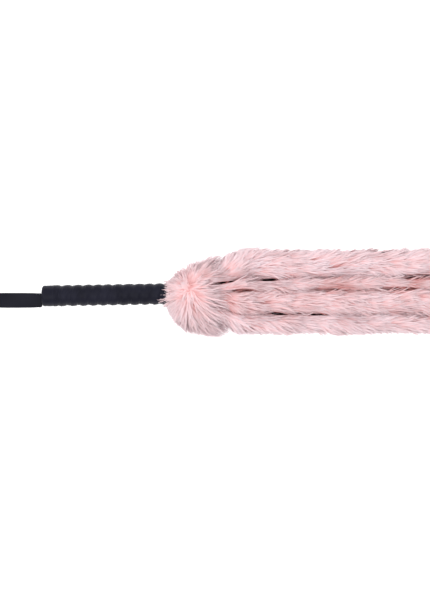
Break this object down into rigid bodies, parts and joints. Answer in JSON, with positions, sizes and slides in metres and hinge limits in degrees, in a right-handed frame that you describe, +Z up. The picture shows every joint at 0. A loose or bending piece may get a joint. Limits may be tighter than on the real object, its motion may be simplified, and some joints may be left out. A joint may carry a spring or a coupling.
{
  "type": "fur-tailed hand whip",
  "caption": "Short hand whip: leather-wound grip with a flat wrist strap at the butt and long fur tails hinged at a fur collar.",
  "frame": {"origin": "on the surface it lies on, under the middle of the whole whip's box", "axes": "+X from the butt to the tips of the tails, +Y across, +Z up from the surface"},
  "size_m": [0.7069, 0.0932, 0.0418],
  "materials": {
    "wrap_leather": "soft black leather strip, satin, fine creases",
    "cap_leather": "smooth black leather, satin",
    "strap_leather": "flat black leather, semi-matt",
    "fur": "long-pile dusty pink faux fur with pale tips",
    "backing": "black knitted backing, matt",
    "thread": "waxed black thread",
    "handle_wood": "plain turned hardwood, unvarnished",
    "grip_foam": "thin closed-cell foam, matt",
    "steel": "bright drawn steel"
  },
  "bodies": {
    "root": {"handle_core": "handle_wood", "core_padding": "grip_foam", "grip_wrap": "wrap_leather", "butt_cap": "cap_leather", "strap_anchor": "strap_leather", "strap_pin": "steel", "wrap_tack": "steel", "tail_tab_1": "backing", "tail_tab_2": "backing", "tail_tab_3": "backing", "tail_tab_4": "backing", "tail_tab_5": "backing", "tail_tab_6": "backing", "tail_tab_7": "backing", "tail_tab_8": "backing", "binding_thread": "thread", "collar_band": "backing", "collar_pile": "fur"},
    "strap": {"wrist_strap": "strap_leather"},
    "top_tail_1": {"top_tail_1_pile": "fur", "top_tail_1_backing": "backing"},
    "top_tail_2": {"top_tail_2_pile": "fur", "top_tail_2_backing": "backing"},
    "top_tail_3": {"top_tail_3_pile": "fur", "top_tail_3_backing": "backing"},
    "top_tail_4": {"top_tail_4_pile": "fur", "top_tail_4_backing": "backing"},
    "bottom_tail_1": {"bottom_tail_1_pile": "fur", "bottom_tail_1_backing": "backing"},
    "bottom_tail_2": {"bottom_tail_2_pile": "fur", "bottom_tail_2_backing": "backing"},
    "bottom_tail_3": {"bottom_tail_3_pile": "fur", "bottom_tail_3_backing": "backing"},
    "bottom_tail_4": {"bottom_tail_4_pile": "fur", "bottom_tail_4_backing": "backing"}
  },
  "joints": [
    {"name": "strap_swing", "type": "hinge", "parent": "root", "child": "strap", "pos_m": [-0.19544, -0.00926, 0.01194], "axis": [0, 1, 0], "range_deg": [0, 100]},
    {"name": "top_tail_1_lift", "type": "hinge", "parent": "root", "child": "top_tail_1", "pos_m": [-0.0065, -0.0181, 0.0204], "axis": [0, -1, 0], "range_deg": [0, 90]},
    {"name": "top_tail_2_lift", "type": "hinge", "parent": "root", "child": "top_tail_2", "pos_m": [-0.0065, -0.0081, 0.0204], "axis": [0, -1, 0], "range_deg": [0, 90]},
    {"name": "top_tail_3_lift", "type": "hinge", "parent": "root", "child": "top_tail_3", "pos_m": [-0.0065, 0.0019, 0.0204], "axis": [0, -1, 0], "range_deg": [0, 90]},
    {"name": "top_tail_4_lift", "type": "hinge", "parent": "root", "child": "top_tail_4", "pos_m": [-0.0065, 0.0119, 0.0204], "axis": [0, -1, 0], "range_deg": [0, 90]},
    {"name": "bottom_tail_1_fan", "type": "hinge", "parent": "root", "child": "bottom_tail_1", "pos_m": [-0.0079, -0.0181, 0.007], "axis": [0, 0, -1], "range_deg": [0, 30]},
    {"name": "bottom_tail_2_fan", "type": "hinge", "parent": "root", "child": "bottom_tail_2", "pos_m": [-0.0079, -0.0081, 0.007], "axis": [0, 0, -1], "range_deg": [0, 12]},
    {"name": "bottom_tail_3_fan", "type": "hinge", "parent": "root", "child": "bottom_tail_3", "pos_m": [-0.0079, 0.0019, 0.007], "axis": [0, 0, 1], "range_deg": [0, 12]},
    {"name": "bottom_tail_4_fan", "type": "hinge", "parent": "root", "child": "bottom_tail_4", "pos_m": [-0.0079, 0.0119, 0.007], "axis": [0, 0, 1], "range_deg": [0, 30]}
  ],
  "couplings": [
    {"joint": "bottom_tail_2_fan", "follows": "bottom_tail_1_fan", "ratio": 0.4},
    {"joint": "bottom_tail_3_fan", "follows": "bottom_tail_4_fan", "ratio": 0.4}
  ]
}
